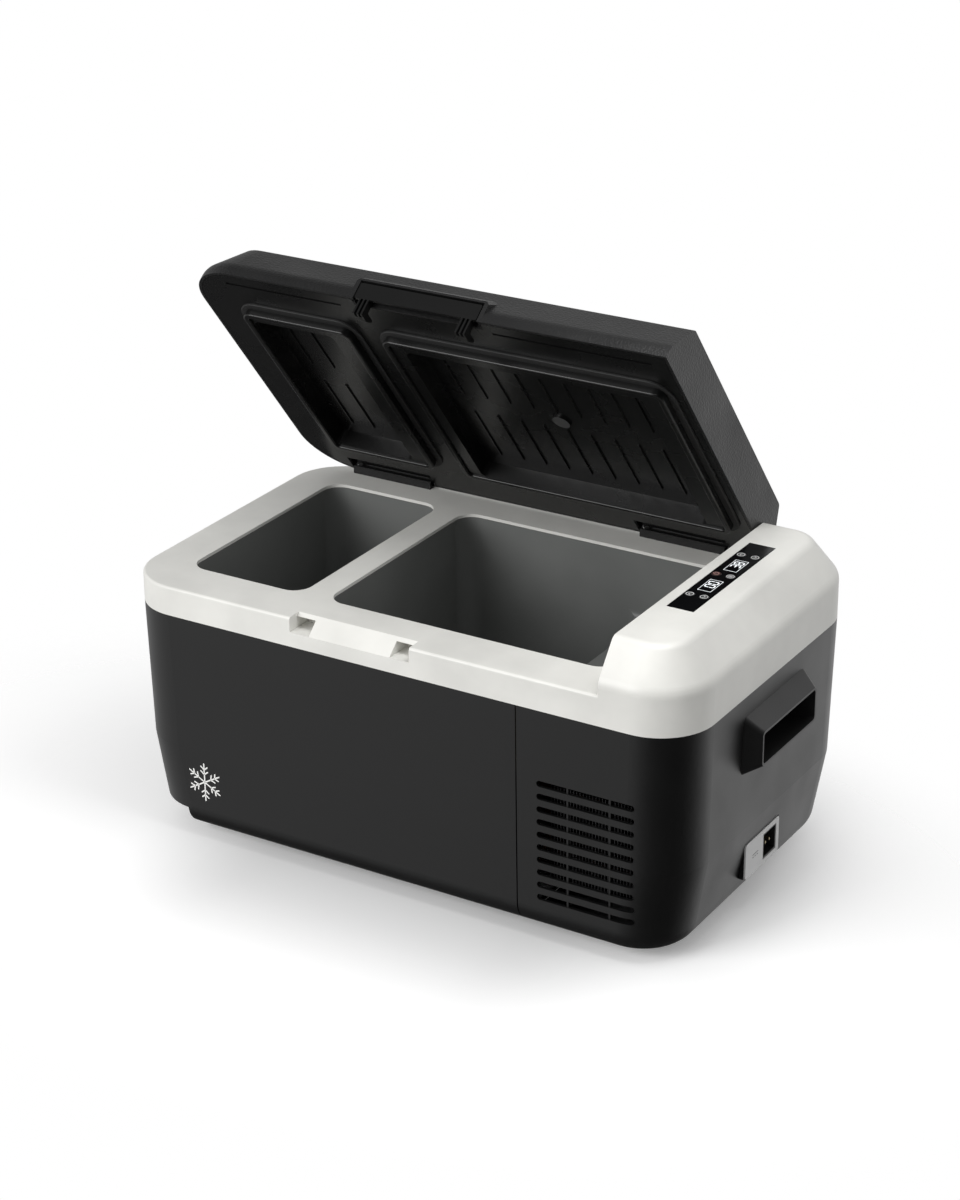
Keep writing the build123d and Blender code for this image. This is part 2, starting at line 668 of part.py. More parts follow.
display_cable = [(229, -60, board_top - 1.6), (229, -60, 262), (229, -45, 244), (229, -45, 219.6)]
save(swept_tube(display_cable, [4, 8], 4), "display_cable")

# Low-voltage inlet on the right end wall
with BuildPart() as inlet_plate:
    with BuildSketch(Plane((PLATE_X, 0, sum(PLATE_Z) / 2), x_dir=(0, 1, 0), z_dir=(1, 0, 0))):
        RectangleRounded(PLATE_Y[1] - PLATE_Y[0], PLATE_Z[1] - PLATE_Z[0], 3)
    extrude(amount=-PLATE_T)
    add(block((260, 300), SOCKET_Y, SOCKET_Z), mode=Mode.SUBTRACT)
save(inlet_plate.part, "inlet_plate")

socket_x = PLATE_X - SOCKET_DEPTH
with BuildPart() as inlet_socket:
    add(block((socket_x - 2, PLATE_X - 0.4), grown(SOCKET_Y, -0.1), grown(SOCKET_Z, -0.1)))
    add(block((socket_x, 300), grown(SOCKET_Y, -1.6), grown(SOCKET_Z, -1.6)), mode=Mode.SUBTRACT)
    with BuildSketch(Plane((socket_x, 0, sum(SOCKET_Z) / 2), x_dir=(0, 1, 0), z_dir=(1, 0, 0))):
        with Locations((sum(SOCKET_Y) / 2, 0)):
            with GridLocations(8, 1, 2, 1):
                Circle(1.5)
    extrude(amount=-5, mode=Mode.SUBTRACT)
save(inlet_socket.part, "inlet_socket")

with BuildPart() as inlet_pins:
    with BuildSketch(Plane((socket_x - 8, 0, sum(SOCKET_Z) / 2), x_dir=(0, 1, 0), z_dir=(1, 0, 0))):
        with Locations((sum(SOCKET_Y) / 2, 0)):
            with GridLocations(8, 1, 2, 1):
                Circle(1.5)
    extrude(amount=14)
    fillet(inlet_pins.faces().sort_by(Axis.X)[-2:].edges(), 0.6)
save(inlet_pins.part, "inlet_pins")


# Hinges: bracket and pin on the frame, leaf on the lid
ear_x = HINGE_W / 2 - 2
barrel_half = ear_x - HINGE_EAR_W - GAP


def hinge_bracket(x):
    """Bracket on the rear of the deck: two ears that carry the pin and a strip that hides them."""
    with BuildPart() as bracket:
        add(rounded_block((x - ear_x, x + ear_x), (149, 165), (DECK_Z, DECK_Z + 1.6), 2))
        add(block((x - ear_x, x + ear_x), (149, 151.5), (DECK_Z, DECK_Z + 8)))
        for low in (x - ear_x, x + ear_x - HINGE_EAR_W):
            with BuildSketch(Plane.YZ.offset(low)):
                with Locations((HINGE_Y, HINGE_Z)):
                    Circle(6)
                with Locations((HINGE_Y, (HINGE_Z + DECK_Z) / 2)):
                    Rectangle(8, HINGE_Z - DECK_Z)
            extrude(amount=HINGE_EAR_W)
        add(block((x - ear_x + 1, x + ear_x - 1), (158.5, 164.5), (DECK_Z + 1, HINGE_Z - 6.7)))
        with BuildSketch(Plane.YZ.offset(x)):
            with Locations((HINGE_Y, HINGE_Z)):
                Circle(PIN_R)
        extrude(amount=2 * ear_x, both=True, mode=Mode.SUBTRACT)
        screw_xs = (x - HINGE_SCREW[0], x + HINGE_SCREW[0])
        with Locations(*[(screw_x, HINGE_Y + HINGE_SCREW[1], DECK_Z) for screw_x in screw_xs]):
            Cylinder(1.8, 10, mode=Mode.SUBTRACT)
    return bracket.part


with BuildPart() as hinge_pins:
    for x in HINGE_XS:
        with BuildSketch(Plane.YZ.offset(x - ear_x - 1)):
            with Locations((HINGE_Y, HINGE_Z)):
                Circle(PIN_R)
        extrude(amount=2 * ear_x + 2)
    fillet(hinge_pins.edges().filter_by(GeomType.CIRCLE), 0.4)
save(hinge_pins.part, "hinge_pins")


def hinge_leaf(x):
    """Lid side of the hinge: a barrel on a folded leaf that lines the lid's notch."""
    half = HINGE_W / 2 - GAP
    with BuildPart() as leaf:
        add(block((x - half, x + half), (145.6, 147.6), (246, 264)))
        add(block((x - half, x + half), (145.6, 153), (262.2, 264)))
        add(block((x - barrel_half, x + barrel_half), (147, HINGE_Y - 1), (HINGE_Z - 3, HINGE_Z + 3)))
        with BuildSketch(Plane.YZ.offset(x - barrel_half)):
            with Locations((HINGE_Y, HINGE_Z)):
                Circle(6)
        extrude(amount=2 * barrel_half)
        with BuildSketch(Plane.YZ.offset(x)):
            with Locations((HINGE_Y, HINGE_Z)):
                Circle(PIN_R + 0.05)
        extrude(amount=2 * ear_x, both=True, mode=Mode.SUBTRACT)
    return leaf.part


def opened(shape):
    """Turn a lid part from closed to the rest pose about the hinge line."""
    return shape.rotate(Axis((0, HINGE_Y, HINGE_Z), (1, 0, 0)), -OPEN_ANGLE)


screw_dx, screw_dy = HINGE_SCREW
hinge_screw_points = [(x + side * screw_dx, HINGE_Y + screw_dy) for x in HINGE_XS for side in (-1, 1)]
with BuildPart() as hinge_screws:
    with Locations(*[(x, y, DECK_Z + 1.6) for x, y in hinge_screw_points]):
        Cylinder(2.6, 0.4, align=(Align.CENTER, Align.CENTER, Align.MIN))
        Cylinder(1.5, 10, align=(Align.CENTER, Align.CENTER, Align.MAX))
save(hinge_screws.part, "hinge_screws")

for side, x in zip(("left", "right"), HINGE_XS):
    save(hinge_bracket(x), f"hinge_bracket_{side}")
    save(opened(hinge_leaf(x)), f"hinge_leaf_{side}")


# Lid, drawn closed
def lid_form(inset):
    """Solid form of the lid, shrunk by inset on the top and sides but not underneath."""
    with BuildPart() as form:
        add(cap(inset, LID_TOP_Z, LID_TAPER, LID_EDGE_R))
        add(block((LID_END_X - inset, 400), (-200, 200), (0, 400)), mode=Mode.SUBTRACT)
        add(block((-400, 400), (-200, 200), (0, LID_FLOOR_Z)), mode=Mode.SUBTRACT)
    return form.part


housing_x = grown(LATCH_X, 5)
latch_bay = block(grown(LATCH_X, 1), (-200, -158), (LID_FLOOR_Z - 2, LATCH_TOP_Z))


def latch_housing():
    """Raised block on the lid's front that frames the latch flap."""
    with BuildPart() as housing:
        with BuildSketch(Plane.YZ.offset(housing_x[0])):
            with BuildLine():
                Polyline(
                    (-WIDTH / 2, LID_FLOOR_Z), (-WIDTH / 2, LATCH_TOP_Z + 2), (-157, 271), (-130, 271),
                    (-130, LID_FLOOR_Z), close=True,
                )
            make_face()
        extrude(amount=housing_x[1] - housing_x[0])
        for x in housing_x:
            slant = housing.edges().filter_by_position(Axis.X, x - 0.01, x + 0.01)
            slant = slant.filter_by_position(Axis.Z, LATCH_TOP_Z, 280)
            chamfer(slant.filter_by(GeomType.LINE).filter_by(lambda e: e.length < 16), 2.5)
    return housing.part


def notches(clearance):
    """Cut-outs for the hinges in the lid's rear edge."""
    with BuildPart() as cuts:
        for x in HINGE_XS:
            half = HINGE_W / 2 + clearance
            add(block((x - half, x + half), (147.6 - clearance, 200), (LID_FLOOR_Z - 1, 262 + clearance)))
    return cuts.part


with BuildPart() as lid_shell:
    add(lid_form(0))
    add(latch_housing())
    add(lid_form(WALL), mode=Mode.SUBTRACT)
    add(block(grown(LATCH_X, 3), (-162, -156), (LID_FLOOR_Z, LATCH_TOP_Z + 2)))
    add(block(grown(LATCH_X, 3), (-166, -156), (LATCH_TOP_Z, LATCH_TOP_Z + 2)))
    add(latch_bay, mode=Mode.SUBTRACT)
    add(notches(0), mode=Mode.SUBTRACT)
save(opened(lid_shell.part), "lid_outer_shell")


# Lid underside: plate, two plugs that enter the wells, and ribbed pans inside the plugs
panel_inset = WALL + GAP


def plug(well):
    """Outline ranges of the raised plug that enters one well."""
    return grown(well, -PLUG_CLEARANCE), (-WELL_Y + PLUG_CLEARANCE, WELL_Y - PLUG_CLEARANCE)


def pan_cut(pan):
    """Recess of one pan, widest at the plug's face."""
    return rounded_block(*pan, (PLUG_Z, PAN_FLOOR_Z), PAN_R, PAN_DRAFT)


def pan_ribs(pan, count):
    """Two rows of parallel ribs across the floor of one pan."""
    with BuildPart() as ribs:
        for low, high in RIB_ROWS:
            with BuildSketch(Plane.XY.offset(PAN_FLOOR_Z)):
                with Locations((sum(pan[0]) / 2, (low + high) / 2)):
                    with GridLocations(RIB_PITCH, 1, count, 1):
                        SlotOverall(high - low, RIB_W, rotation=90)
            extrude(amount=-RIB_H, taper=12)
    return ribs.part


def groove(x_range, y):
    """Shallow straight slot in the underside plate."""
    y_range = (y - GROOVE_W / 2, y + GROOVE_W / 2)
    return rounded_block(x_range, y_range, (LID_FLOOR_Z, LID_FLOOR_Z + GROOVE_DEPTH), GROOVE_W / 2 - 0.1)


with BuildPart() as lid_panel:
    add(lid_form(panel_inset))
    add(block((-400, 400), (-200, 200), (LID_FLOOR_Z + SKIN, 400)), mode=Mode.SUBTRACT)
    for well, pan in ((LEFT_WELL, LEFT_PAN), (RIGHT_WELL, RIGHT_PAN)):
        add(rounded_block(*plug(well), (PLUG_Z, LID_FLOOR_Z + SKIN), PLUG_R))
        add(rounded_block(grown(pan[0], 3), grown(pan[1], 3), (LID_FLOOR_Z, PAN_FLOOR_Z + SKIN), 12, 4))
    for well in (LEFT_WELL, RIGHT_WELL):
        span_x, span_y = plug(well)
        inside = grown(span_x, -BEAD_W), grown(span_y, -BEAD_W)
        add(rounded_block(*inside, (PLUG_Z, PLUG_Z + BEAD_H), PLUG_R - BEAD_W), mode=Mode.SUBTRACT)
    fillet(lid_panel.edges().filter_by_position(Axis.Z, PLUG_Z - 0.01, PLUG_Z + 0.01), BEAD_R)
    for pan, count in ((LEFT_PAN, 3), (RIGHT_PAN, 9)):
        add(pan_cut(pan), mode=Mode.SUBTRACT)
        add(pan_ribs(pan, count))
    with Locations((sum(RIGHT_PAN[0]) / 2, -3, PAN_FLOOR_Z)):
        Cylinder(BOSS_R, BOSS_H, align=(Align.CENTER, Align.CENTER, Align.MAX))
    for x_range in GROOVE_SPANS:
        add(groove(x_range, GROOVE_Y), mode=Mode.SUBTRACT)
    add(block(grown(LATCH_X, 3 + GAP), (-200, -156 + GAP), (0, 400)), mode=Mode.SUBTRACT)
    add(notches(1.5), mode=Mode.SUBTRACT)
save(opened(lid_panel.part), "lid_inner_panel")

# Gaskets round the plugs
for name, well in (("gasket_left", LEFT_WELL), ("gasket_right", RIGHT_WELL)):
    span_x, span_y = plug(well)
    with BuildPart() as gasket:
        add(rounded_block(grown(span_x, 7), grown(span_y, 7), (DECK_Z + 0.1, LID_FLOOR_Z), WELL_R + 4))
        fillet(gasket.faces().sort_by(Axis.Z)[0].edges(), 0.8)
        inner = rounded_block(grown(span_x, 0.05), grown(span_y, 0.05), (230, 250), PLUG_R)
        add(inner, mode=Mode.SUBTRACT)
    save(opened(gasket.part), name)

# Foam inside the lid
with BuildPart() as lid_foam:
    add(lid_form(WALL + GAP))
    add(block((-400, 400), (-200, 200), (0, LID_FLOOR_Z + SKIN + GAP)), mode=Mode.SUBTRACT)
    for pan in (LEFT_PAN, RIGHT_PAN):
        over = rounded_block(grown(pan[0], 4), grown(pan[1], 4), (240, PAN_FLOOR_Z + SKIN + GAP), 12)
        add(over, mode=Mode.SUBTRACT)
    add(block(grown(LATCH_X, 4), (-200, -155), (0, LATCH_TOP_Z + 3)), mode=Mode.SUBTRACT)
    add(block((-400, 400), (144, 200), (0, 400)), mode=Mode.SUBTRACT)
save(opened(lid_foam.part), "lid_foam")

# Latch flap with two hooks, its pin and its return spring
latch_face_y = -WIDTH / 2 + 0.3
flap_x = grown(LATCH_X, -0.2)
flap_top = LATCH_TOP_Z - 2.2
with BuildPart() as flap:
    add(block(flap_x, (latch_face_y, latch_face_y + 2.8), (LID_FLOOR_Z + 1, flap_top)))
    fillet(flap.edges().filter_by(Axis.Y), 1.5)
    with BuildSketch(Plane.YZ.offset(flap_x[0] + 1)):
        with Locations(LATCH_PIVOT):
            Circle(3.2)
    extrude(amount=flap_x[1] - flap_x[0] - 2)
    add(block((-60, -22), (latch_face_y + 2.8, -158), (250, LATCH_TOP_Z)), mode=Mode.SUBTRACT)
    for x in (LATCH_X[0] + POCKET_W / 2, LATCH_X[1] - POCKET_W / 2):
        hook_x = (x - HOOK_W / 2, x + HOOK_W / 2)
        add(block(hook_x, (-161, -158.4), (230, 252)))
        with BuildSketch(Plane.YZ.offset(hook_x[0])):
            with BuildLine():
                Polyline(
                    (-161, 229), (-155, 229), (-147.5, 233), (-147.5, 235.4), (-161, 235.4), close=True,
                )
            make_face()
        extrude(amount=HOOK_W)
        for rib_x in (hook_x[0], x - HOOK_RIB_W / 2, hook_x[1] - HOOK_RIB_W):
            add(block((rib_x, rib_x + HOOK_RIB_W), (latch_face_y + 1, -160), (229, 248)))
    with BuildSketch(Plane.YZ):
        with Locations(LATCH_PIVOT):
            Circle(1.55)
    extrude(amount=300, both=True, mode=Mode.SUBTRACT)
save(opened(flap.part), "latch_flap")

with BuildPart() as latch_pin:
    with BuildSketch(Plane.YZ.offset(LATCH_X[0] - 0.9)):
        with Locations(LATCH_PIVOT):
            Circle(1.5)
    extrude(amount=LATCH_X[1] - LATCH_X[0] + 1.8)
save(opened(latch_pin.part), "latch_pin")

coil_pitch = 1.2
with BuildPart() as latch_spring:
    for turn in range(14):
        with BuildSketch(Plane.YZ.offset(-49 + turn * coil_pitch)):
            with Locations(LATCH_PIVOT):
                Circle(2.4)
                Circle(1.6, mode=Mode.SUBTRACT)
        extrude(amount=coil_pitch)
    add(block((-33.4, -32.4), (-161.2, -158.1), (257.6, 258.6)))
save(opened(latch_spring.part), "latch_spring")
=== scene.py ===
"""Looks of the compressor cooler fridge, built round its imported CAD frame."""
import json
import math

import bmesh
import bpy
from mathutils import Matrix, Vector


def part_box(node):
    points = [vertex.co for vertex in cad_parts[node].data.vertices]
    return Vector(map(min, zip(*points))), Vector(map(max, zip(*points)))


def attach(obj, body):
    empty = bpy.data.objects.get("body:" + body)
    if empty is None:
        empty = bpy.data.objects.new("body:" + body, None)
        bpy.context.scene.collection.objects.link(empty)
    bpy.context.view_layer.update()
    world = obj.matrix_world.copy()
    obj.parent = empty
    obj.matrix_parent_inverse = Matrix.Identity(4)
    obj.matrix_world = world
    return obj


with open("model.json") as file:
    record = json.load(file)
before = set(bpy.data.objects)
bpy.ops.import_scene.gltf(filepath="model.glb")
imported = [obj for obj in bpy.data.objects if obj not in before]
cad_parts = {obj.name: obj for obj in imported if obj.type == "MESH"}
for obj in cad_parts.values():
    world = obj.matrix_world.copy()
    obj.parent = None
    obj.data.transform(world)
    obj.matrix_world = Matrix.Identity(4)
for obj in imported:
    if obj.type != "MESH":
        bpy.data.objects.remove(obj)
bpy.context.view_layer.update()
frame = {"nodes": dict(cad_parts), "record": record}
MM = 0.001


# ---------------------------------------------------------------- camera and studio
CAMERA_AZIMUTH = math.radians(31.23)
CAMERA_ELEVATION = math.radians(24.11)
CAMERA_ROLL = math.radians(-0.35)
CAMERA_PLACE = Vector((1.2704, -2.1096, 1.3288))
CAMERA_LENS = 89.17
SENSOR = 36.0


def add_camera():
    """Camera at the photograph's viewing angle."""
    sin_a, cos_a = math.sin(CAMERA_AZIMUTH), math.cos(CAMERA_AZIMUTH)
    sin_e, cos_e = math.sin(CAMERA_ELEVATION), math.cos(CAMERA_ELEVATION)
    back = Vector((sin_a * cos_e, -cos_a * cos_e, sin_e))
    right = Vector((cos_a, sin_a, 0.0))
    up = back.cross(right)
    turned_right = right * math.cos(CAMERA_ROLL) + up * math.sin(CAMERA_ROLL)
    turned_up = up * math.cos(CAMERA_ROLL) - right * math.sin(CAMERA_ROLL)
    data = bpy.data.cameras.new("camera")
    data.lens = CAMERA_LENS
    data.sensor_width = SENSOR
    data.sensor_fit = "AUTO"
    camera = bpy.data.objects.new("camera", data)
    axes = Matrix((turned_right, turned_up, back)).transposed()
    camera.matrix_world = Matrix.Translation(CAMERA_PLACE) @ axes.to_4x4()
    bpy.context.scene.collection.objects.link(camera)
    bpy.context.scene.camera = camera


def add_light(name, place, target, size, power):
    """Square soft light that points at a target."""
    data = bpy.data.lights.new(name, "AREA")
    data.size = size
    data.energy = power
    light = bpy.data.objects.new(name, data)
    aim = (Vector(target) - Vector(place)).to_track_quat("-Z", "Y")
    light.matrix_world = Matrix.Translation(place) @ aim.to_matrix().to_4x4()
    bpy.context.scene.collection.objects.link(light)


def horizon_direction(degrees):
    """Level direction at an angle from the front, towards the right."""
    angle = math.radians(degrees)
    return (math.sin(angle), -math.cos(angle), 0.0)


def facing_ramp(tree, direction, low, high, low_grey, high_grey):
    """Grey that changes between two values as a ray turns towards a direction."""
    coords = tree.nodes.new("ShaderNodeTexCoord")
    facing = tree.nodes.new("ShaderNodeVectorMath")
    facing.operation = "DOT_PRODUCT"
    facing.inputs[1].default_value = direction
    tree.links.new(coords.outputs["Generated"], facing.inputs[0])
    ramp = tree.nodes.new("ShaderNodeMapRange")
    ramp.interpolation_type = "SMOOTHSTEP"
    ramp.inputs["From Min"].default_value = low
    ramp.inputs["From Max"].default_value = high
    ramp.inputs["To Min"].default_value = low_grey
    ramp.inputs["To Max"].default_value = high_grey
    tree.links.new(facing.outputs["Value"], ramp.inputs["Value"])
    return ramp.outputs["Result"]


def combine(tree, operation, first, second):
    """Sum or product of two values."""
    node = tree.nodes.new("ShaderNodeMath")
    node.operation = operation
    tree.links.new(first, node.inputs[0])
    tree.links.new(second, node.inputs[1])
    return node.outputs["Value"]


DARK_SIDE = 59
BRIGHT_SIDE = 149
ROOM_LIGHT = 0.42
# Each ramp of the reflected room: cosines where it starts and ends, and the grey at either end
ROOM_RAMP = (0.05, 0.7, 0.62, 0.0)
WALL_RAMP = (0.35, 0.9, 0.0, 0.5)
UNDER_RAMP = (0.5, 0.8, 1.0, 0.08)
ABOVE_RAMP = (0.3, 0.85, 1.0, 0.45)


def add_world():
    """Even white studio; in reflections it is dark to the front right and has a brighter rear wall."""
    world = bpy.data.worlds.new("studio")
    bpy.context.scene.world = world
    world.use_nodes = True
    tree = world.node_tree
    tree.nodes.clear()
    room = facing_ramp(tree, horizon_direction(DARK_SIDE), *ROOM_RAMP)
    wall = facing_ramp(tree, horizon_direction(BRIGHT_SIDE), *WALL_RAMP)
    sides = combine(tree, "ADD", room, wall)
    under = facing_ramp(tree, (0.0, 0.0, -1.0), *UNDER_RAMP)
    above = facing_ramp(tree, (0.0, 0.0, 1.0), *ABOVE_RAMP)
    total = combine(tree, "MULTIPLY", sides, combine(tree, "MULTIPLY", under, above))
    lit = tree.nodes.new("ShaderNodeBackground")
    lit.inputs["Strength"].default_value = ROOM_LIGHT
    mirrored = tree.nodes.new("ShaderNodeBackground")
    tree.links.new(total, mirrored.inputs["Strength"])
    seen = tree.nodes.new("ShaderNodeBackground")
    path = tree.nodes.new("ShaderNodeLightPath")
    rough = tree.nodes.new("ShaderNodeMixShader")
    tree.links.new(path.outputs["Is Glossy Ray"], rough.inputs["Fac"])
    tree.links.new(lit.outputs["Background"], rough.inputs[1])
    tree.links.new(mirrored.outputs["Background"], rough.inputs[2])
    mix = tree.nodes.new("ShaderNodeMixShader")
    tree.links.new(path.outputs["Is Camera Ray"], mix.inputs["Fac"])
    tree.links.new(rough.outputs["Shader"], mix.inputs[1])
    tree.links.new(seen.outputs["Background"], mix.inputs[2])
    out = tree.nodes.new("ShaderNodeOutputWorld")
    tree.links.new(mix.outputs["Shader"], out.inputs["Surface"])
    for background in (lit, mirrored, seen):
        background.inputs["Color"].default_value = (1.0, 1.0, 1.0, 1.0)


# The floor fades out between two distances, measured after it is squeezed sideways and shifted
FLOOR_NEAR = 0.20
FLOOR_FAR = 0.46
FLOOR_STRETCH = (0.66, 1.0, 0.0)
FLOOR_SHIFT = (0.02, 0.09, 0.0)
FLOOR_HALF = 1.6
FLOOR_GLOW = 0.2
# The painted shadow patch on the floor: its middle with the sign turned round, its half size and the width
# of its soft edge
PAINTED_SHADOW_CENTRE = (0.0, 0.075, 0.0)
PAINTED_SHADOW_HALF = (0.13, 0.125, 10.0)
PAINTED_SHADOW_REACH = 0.15
PAINTED_SHADOW_DEPTH = 0.72


def painted_shadow_patch(tree, position):
    """Painted shadow on the floor: brightness lowest under and just in front of the fridge."""
    moved = tree.nodes.new("ShaderNodeVectorMath")
    moved.operation = "ADD"
    moved.inputs[1].default_value = PAINTED_SHADOW_CENTRE
    tree.links.new(position, moved.inputs[0])
    folded = tree.nodes.new("ShaderNodeVectorMath")
    folded.operation = "ABSOLUTE"
    tree.links.new(moved.outputs["Vector"], folded.inputs[0])
    beyond = tree.nodes.new("ShaderNodeVectorMath")
    beyond.operation = "SUBTRACT"
    beyond.inputs[1].default_value = PAINTED_SHADOW_HALF
    tree.links.new(folded.outputs["Vector"], beyond.inputs[0])
    outside = tree.nodes.new("ShaderNodeVectorMath")
    outside.operation = "MAXIMUM"
    tree.links.new(beyond.outputs["Vector"], outside.inputs[0])
    reach = tree.nodes.new("ShaderNodeVectorMath")
    reach.operation = "LENGTH"
    tree.links.new(outside.outputs["Vector"], reach.inputs[0])
    painted_shadow = tree.nodes.new("ShaderNodeMapRange")
    painted_shadow.interpolation_type = "SMOOTHSTEP"
    painted_shadow.inputs["From Max"].default_value = PAINTED_SHADOW_REACH
    painted_shadow.inputs["To Min"].default_value = PAINTED_SHADOW_DEPTH
    tree.links.new(reach.outputs["Value"], painted_shadow.inputs["Value"])
    return painted_shadow.outputs["Result"]


def add_floor():
    """White floor that takes the fridge's soft shadow, carries a painted shadow under and in front of it,
    and fades out into the white surroundings.
    """
    mesh = bpy.data.meshes.new("floor")
    half = FLOOR_HALF
    corners = [(-half, -half, 0), (half, -half, 0), (half, half, 0), (-half, half, 0)]
    mesh.from_pydata(corners, [], [(0, 1, 2, 3)])
    floor = bpy.data.objects.new("floor", mesh)
    bpy.context.scene.collection.objects.link(floor)
    material = bpy.data.materials.new("floor")
    material.use_nodes = True
    tree = material.node_tree
    tree.nodes.clear()
    place = tree.nodes.new("ShaderNodeTexCoord")
    # The floor's paint and its glow are both darkened by the painted shadow patch
    painted_shadow = painted_shadow_patch(tree, place.outputs["Object"])
    paint = tree.nodes.new("ShaderNodeBsdfDiffuse")
    tree.links.new(painted_shadow, paint.inputs["Color"])
    glow = tree.nodes.new("ShaderNodeEmission")
    glow.inputs["Strength"].default_value = FLOOR_GLOW
    tree.links.new(painted_shadow, glow.inputs["Color"])
    paper = tree.nodes.new("ShaderNodeAddShader")
    tree.links.new(paint.outputs["BSDF"], paper.inputs[0])
    tree.links.new(glow.outputs["Emission"], paper.inputs[1])
    squeezed = tree.nodes.new("ShaderNodeVectorMath")
    squeezed.operation = "MULTIPLY_ADD"
    squeezed.inputs[1].default_value = FLOOR_STRETCH
    squeezed.inputs[2].default_value = FLOOR_SHIFT
    tree.links.new(place.outputs["Object"], squeezed.inputs[0])
    distance = tree.nodes.new("ShaderNodeVectorMath")
    distance.operation = "LENGTH"
    tree.links.new(squeezed.outputs["Vector"], distance.inputs[0])
    fade = tree.nodes.new("ShaderNodeMapRange")
    fade.interpolation_type = "SMOOTHSTEP"
    fade.inputs["From Min"].default_value = FLOOR_NEAR
    fade.inputs["From Max"].default_value = FLOOR_FAR
    tree.links.new(distance.outputs["Value"], fade.inputs["Value"])
    clear = tree.nodes.new("ShaderNodeBsdfTransparent")
    mix = tree.nodes.new("ShaderNodeMixShader")
    tree.links.new(fade.outputs["Result"], mix.inputs["Fac"])
    tree.links.new(paper.outputs["Shader"], mix.inputs[1])
    tree.links.new(clear.outputs["BSDF"], mix.inputs[2])
    out = tree.nodes.new("ShaderNodeOutputMaterial")
    tree.links.new(mix.outputs["Shader"], out.inputs["Surface"])
    mesh.materials.append(material)
    floor.visible_glossy = False


# Each light: place, target, size and power
KEY_LIGHT = ((-1.15, -2.15, 1.25), (0, 0, 0.15), 1.5, 45)
TOP_LIGHT = ((0.28, -0.14, 0.84), (0.2, -0.08, 0.3), 0.3, 2.2)

add_camera()
add_world()
add_floor()
add_light("key", *KEY_LIGHT)
add_light("top", *TOP_LIGHT)
bpy.context.scene.view_settings.view_transform = "Standard"


# ---------------------------------------------------------------- materials
def material_base(name, colour, roughness, metallic=0.0, gloss=0.5):
    """Material with one Principled shader; returns it with its tree and shader."""
    material = bpy.data.materials.new(name)
    material.use_nodes = True
    tree = material.node_tree
    shader = tree.nodes["Principled BSDF"]
    shader.inputs["Base Color"].default_value = (*colour, 1.0)
    shader.inputs["Roughness"].default_value = roughness
    shader.inputs["Metallic"].default_value = metallic
    shader.inputs["Specular IOR Level"].default_value = gloss
    return material, tree, shader


def object_noise(tree, scale, detail=3.0, stretch=(1, 1, 1)):
    """Noise in the piece's own coordinates, scale in cycles per metre."""
    coords = tree.nodes.new("ShaderNodeTexCoord")
    mapping = tree.nodes.new("ShaderNodeMapping")
    mapping.inputs["Scale"].default_value = stretch
    tree.links.new(coords.outputs["Object"], mapping.inputs["Vector"])
    noise = tree.nodes.new("ShaderNodeTexNoise")
    noise.inputs["Scale"].default_value = scale
    noise.inputs["Detail"].default_value = detail
    tree.links.new(mapping.outputs["Vector"], noise.inputs["Vector"])
    return noise.outputs["Fac"]


def vary(tree, shader, colour, roughness, colour_spread, rough_spread, scale):
    """Slow change of colour and gloss over the surface."""
    patch = object_noise(tree, scale, 4.0)
    ramp = tree.nodes.new("ShaderNodeValToRGB")
    low = [channel * (1 - colour_spread) for channel in colour]
    high = [min(1.0, channel * (1 + colour_spread)) for channel in colour]
    ramp.color_ramp.elements[0].position = 0.35
    ramp.color_ramp.elements[0].color = (*low, 1.0)
    ramp.color_ramp.elements[1].position = 0.65
    ramp.color_ramp.elements[1].color = (*high, 1.0)
    tree.links.new(patch, ramp.inputs["Fac"])
    tree.links.new(ramp.outputs["Color"], shader.inputs["Base Color"])
    spread = tree.nodes.new("ShaderNodeMapRange")
    spread.inputs["From Min"].default_value = 0.3
    spread.inputs["From Max"].default_value = 0.7
    spread.inputs["To Min"].default_value = roughness - rough_spread
    spread.inputs["To Max"].default_value = roughness + rough_spread
    tree.links.new(patch, spread.inputs["Value"])
    tree.links.new(spread.outputs["Result"], shader.inputs["Roughness"])


def add_bump(tree, shader, height, depth, strength=1.0):
    """Bump of the given depth in metres from a height value."""
    bump = tree.nodes.new("ShaderNodeBump")
    bump.inputs["Distance"].default_value = depth
    bump.inputs["Strength"].default_value = strength
    tree.links.new(height, bump.inputs["Height"])
    tree.links.new(bump.outputs["Normal"], shader.inputs["Normal"])


def moulded_plastic(name, colour, roughness, grain=900.0, depth=0.00004, gloss=0.5):
    """Injection-moulded plastic with a fine spark-eroded texture."""
    material, tree, shader = material_base(name, colour, roughness, 0.0, gloss)
    vary(tree, shader, colour, roughness, 0.06, 0.04, 14.0)
    if depth:
        add_bump(tree, shader, object_noise(tree, grain, 2.0), depth)
    return material


def leather_grain_plastic(name, colour, roughness, cell=750.0, depth=0.0001, gloss=0.5):
    """Plastic moulded with a pebbled leather-like grain."""
    material, tree, shader = material_base(name, colour, roughness, 0.0, gloss)
    vary(tree, shader, colour, roughness, 0.08, 0.05, 18.0)
    coords = tree.nodes.new("ShaderNodeTexCoord")
    pebbles = tree.nodes.new("ShaderNodeTexVoronoi")
    pebbles.feature = "SMOOTH_F1"
    pebbles.inputs["Scale"].default_value = cell
    pebbles.inputs["Smoothness"].default_value = 0.6
    tree.links.new(coords.outputs["Object"], pebbles.inputs["Vector"])
    add_bump(tree, shader, pebbles.outputs["Distance"], depth)
    return material


def brushed_metal(name, colour, roughness, stretch=(1, 30, 30)):
    """Metal with fine drawn lines."""
    material, tree, shader = material_base(name, colour, roughness, 1.0)
    vary(tree, shader, colour, roughness, 0.1, 0.06, 25.0)
    add_bump(tree, shader, object_noise(tree, 60.0, 3.0, stretch), 0.00002)
    return material


